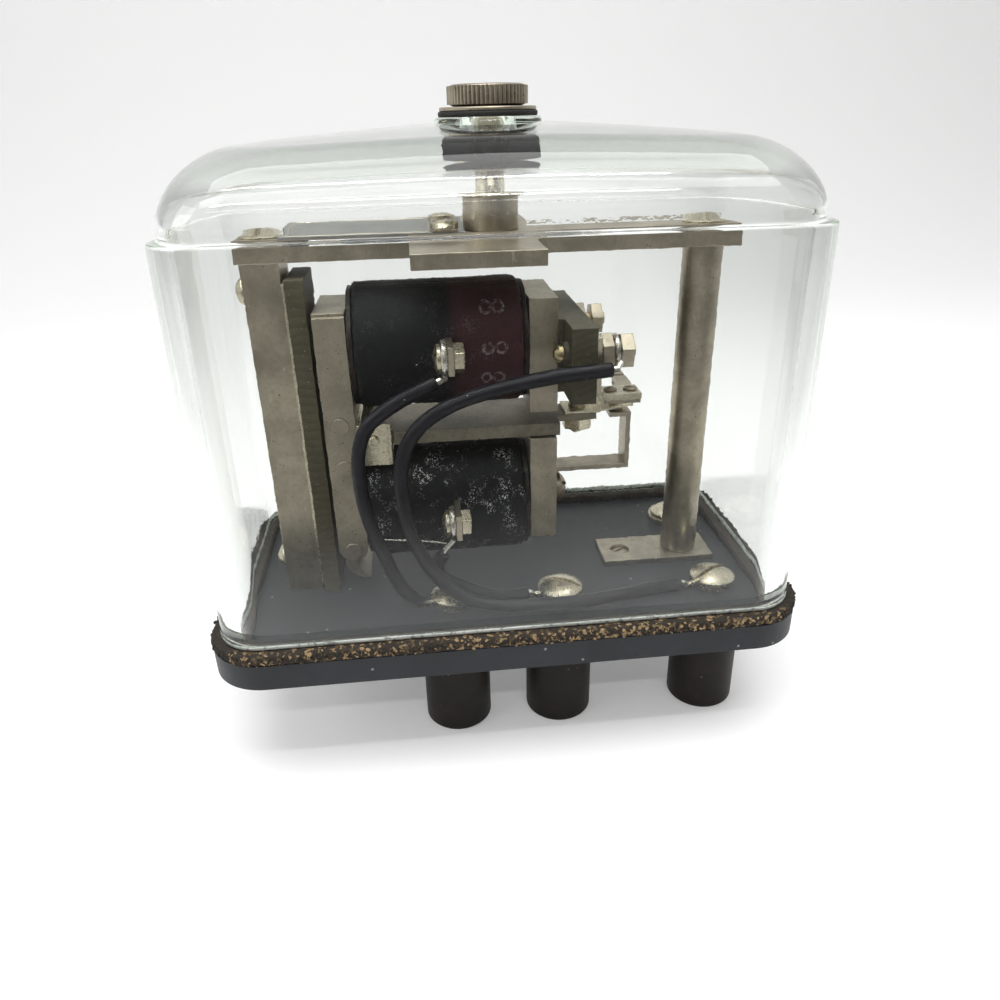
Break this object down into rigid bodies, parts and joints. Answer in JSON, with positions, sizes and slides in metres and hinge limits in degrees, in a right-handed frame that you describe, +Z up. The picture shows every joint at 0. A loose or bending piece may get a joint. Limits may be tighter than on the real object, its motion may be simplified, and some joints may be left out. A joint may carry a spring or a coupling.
{
  "type": "auxiliary relay",
  "caption": "Two-coil electromagnetic relay on a footed black base, with a pivoted armature, spring contacts and wired terminals under a clear glass cover held by a thumb nut.",
  "frame": {"origin": "under the middle of the base plate, level with the bottoms of the feet", "axes": "+X to the right along the base, from the magnet's yoke to the contacts; +Y to the back; +Z up along the cover's stud"},
  "size_m": [0.152, 0.086, 0.1626],
  "materials": {
    "base_enamel": "satin blue-black enamel",
    "cork": "dark granular cork with tan specks",
    "foot_black": "moulded insulation, brownish black",
    "brass": "dulled",
    "nickel": "aged nickel plate, warm satin",
    "pale_nickel": "bright nickel plate",
    "magnet_iron": "nickel-plated iron, satin",
    "fibre": "dark olive vulcanised fibre with saw marks",
    "aged_nut": "worn nickel, brownish in the flutes",
    "etched_plate": "grey etched metal",
    "glass": "clear moulded glass, faint green edges",
    "rubber": "matte black",
    "tape_maroon": "black varnished tape, maroon at one end",
    "tape_black": "black tape with white dust",
    "bare_wire": "tinned copper",
    "lead_black": "smooth black sleeving"
  },
  "bodies": {
    "frame": {"base_plate": "base_enamel", "cork_gasket": "cork", "insulating_feet": "foot_black", "foot_inserts": "brass", "terminal_screws": "pale_nickel", "terminal_washers": "nickel", "frame_bolts": "nickel", "upright": "nickel", "board_strip": "pale_nickel", "insulating_board": "fibre", "board_screws": "pale_nickel", "post_foot": "nickel", "round_post": "nickel", "foot_screw": "nickel", "top_plate": "nickel", "top_plate_screws": "nickel", "cover_pillar": "nickel", "pillar_collar": "pale_nickel", "cover_stud": "nickel", "nameplate": "etched_plate", "nameplate_clamp": "nickel", "nameplate_screws": "brass", "yoke_upper": "magnet_iron", "yoke_lower": "magnet_iron", "yoke_rivets": "nickel", "yoke_screws": "magnet_iron", "yoke_spacers": "nickel", "yoke_lug": "nickel", "upper_core": "magnet_iron", "lower_core": "magnet_iron", "upper_bobbin": "fibre", "lower_bobbin": "fibre", "upper_winding": "tape_maroon", "lower_winding": "tape_black", "coil_tabs": "pale_nickel", "coil_terminal_screws": "pale_nickel", "coil_terminal_nuts": "brass", "upper_pole": "magnet_iron", "lower_pole": "magnet_iron", "pole_screws": "nickel", "pivot_strap": "pale_nickel", "pivot_pin": "pale_nickel", "contact_block": "fibre", "block_screws": "nickel", "contact_bolts": "brass", "contact_nuts": "pale_nickel", "contact_brackets": "pale_nickel", "fixed_contacts": "brass", "stop_strip": "nickel", "bare_wires": "bare_wire", "coil_leads": "lead_black", "contact_lead": "lead_black"},
    "cover": {"glass_cover": "glass", "rubber_washer": "rubber"},
    "cap": {"cap_washer": "nickel"},
    "thumb_nut": {"thumb_nut": "aged_nut"},
    "armature": {"armature": "nickel", "clamp_screw": "pale_nickel", "clamp_nut": "pale_nickel", "moving_contact": "pale_nickel"}
  },
  "joints": [
    {"name": "cover_lift", "type": "slide", "parent": "frame", "child": "cover", "axis": [0, 0, 1], "range_m": [0, 0.125]},
    {"name": "cap_lift", "type": "slide", "parent": "cover", "child": "cap", "axis": [0, 0, 1], "range_m": [0, 0.004]},
    {"name": "nut_turn", "type": "hinge", "parent": "cap", "child": "thumb_nut", "pos_m": [0, 0, 0.158], "axis": [0, 0, 1], "range_deg": [0, 1140]},
    {"name": "armature_swing", "type": "hinge", "parent": "frame", "child": "armature", "pos_m": [-0.0322, 0, 0.08266], "axis": [0, -1, 0], "range_deg": [0, 2.8]}
  ],
  "couplings": [
    {"joint": "nut_turn", "follows": "cap_lift", "rad_per_m": 4947.4}
  ]
}
